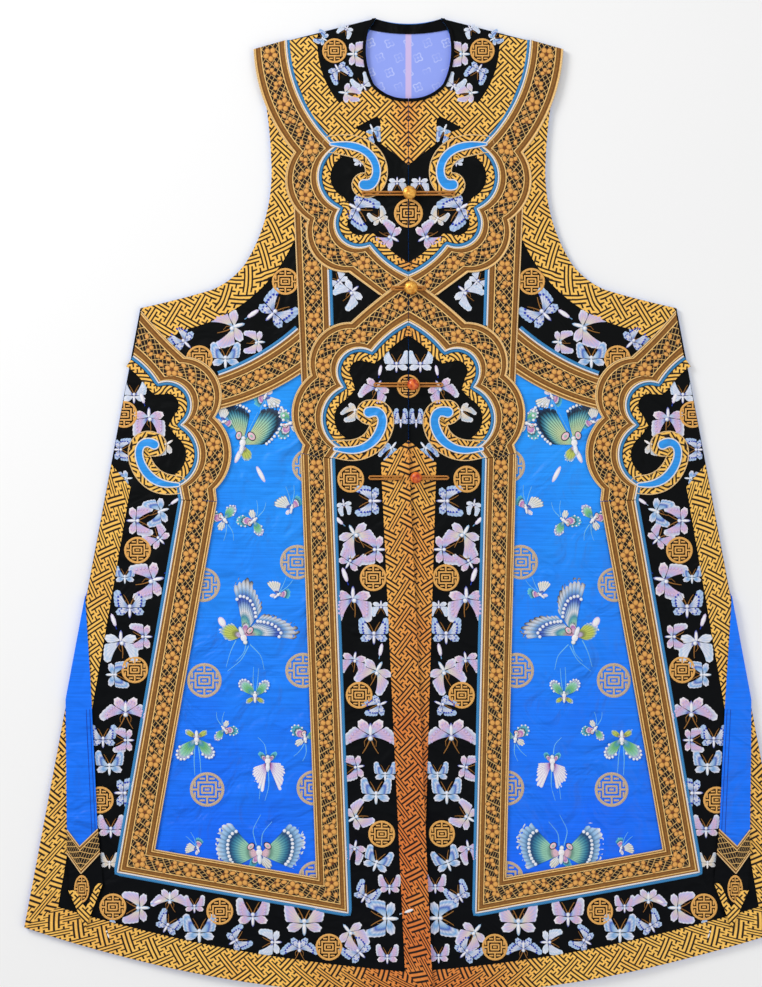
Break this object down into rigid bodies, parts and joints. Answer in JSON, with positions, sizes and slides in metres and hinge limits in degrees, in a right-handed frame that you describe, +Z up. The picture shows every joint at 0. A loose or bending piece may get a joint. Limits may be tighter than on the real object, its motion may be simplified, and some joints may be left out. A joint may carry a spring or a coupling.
{
  "type": "long sleeveless Chinese court vest, laid flat",
  "caption": "Long open-fronted sleeveless vest with cloud-shaped borders, ribbon bands, toggle buttons and side streamers, lying flat.",
  "frame": {"origin": "centre of the garment's outline, on the surface it lies on", "axes": "+Y from the hem to the neck, +Z up from the surface towards the front of the garment, +X towards the viewer's right when the hem is at the bottom"},
  "size_m": [1.092, 1.392, 0.0262],
  "materials": {
    "blue_satin": "blue silk satin, soft sheen",
    "black_satin": "black silk satin",
    "gold_fret": "black and gold woven fret",
    "ribbon_brocade": "woven ribbon with blossoms, piped edges",
    "scroll_satin": "blue satin scroll with a pale edge",
    "lilac_damask": "lilac damask lining",
    "black_binding": "black satin binding",
    "gold_button": "gilt metal button",
    "coral_button": "coral-red polished button",
    "gold_cord": "braided gold cord"
  },
  "bodies": {
    "root": {"back_lining": "lilac_damask", "back_neck_binding": "black_binding", "back_panel": "blue_satin", "black_ground_left": "black_satin", "black_ground_right": "black_satin", "button_1": "gold_button", "button_2": "gold_button", "button_3": "coral_button", "button_4": "coral_button", "cord_1_left": "gold_cord", "cord_1_right": "gold_cord", "cord_2_left": "gold_cord", "cord_2_right": "gold_cord", "cord_3_left": "gold_cord", "cord_3_right": "gold_cord", "cord_4_left": "gold_cord", "cord_4_right": "gold_cord", "fret_armhole_left": "gold_fret", "fret_armhole_right": "gold_fret", "fret_edge_left": "gold_fret", "fret_edge_right": "gold_fret", "fret_yoke_left": "gold_fret", "fret_yoke_right": "gold_fret", "front_left": "blue_satin", "front_right": "blue_satin", "neck_binding_left": "black_binding", "neck_binding_right": "black_binding", "ribbon_arm_left": "ribbon_brocade", "ribbon_arm_right": "ribbon_brocade", "ribbon_chest_left": "ribbon_brocade", "ribbon_chest_right": "ribbon_brocade", "ribbon_drop_left": "ribbon_brocade", "ribbon_drop_right": "ribbon_brocade", "ribbon_mid_left": "ribbon_brocade", "ribbon_mid_right": "ribbon_brocade", "ribbon_side_left": "ribbon_brocade", "ribbon_side_right": "ribbon_brocade", "ribbon_window_left": "ribbon_brocade", "ribbon_window_right": "ribbon_brocade", "rim_chest_left": "gold_fret", "rim_chest_right": "gold_fret", "rim_mid_left": "gold_fret", "rim_mid_right": "gold_fret", "rim_side_left": "gold_fret", "rim_side_right": "gold_fret", "scroll_chest_left": "scroll_satin", "scroll_chest_right": "scroll_satin", "scroll_mid_left": "scroll_satin", "scroll_mid_right": "scroll_satin", "scroll_side_left": "scroll_satin", "scroll_side_right": "scroll_satin", "streamer_chevron_left": "ribbon_brocade", "streamer_chevron_right": "ribbon_brocade", "streamer_end_left": "black_satin", "streamer_end_right": "black_satin", "streamer_strap_left": "blue_satin", "streamer_strap_right": "blue_satin", "streamer_tip_left": "gold_fret", "streamer_tip_right": "gold_fret"}
  },
  "joints": []
}
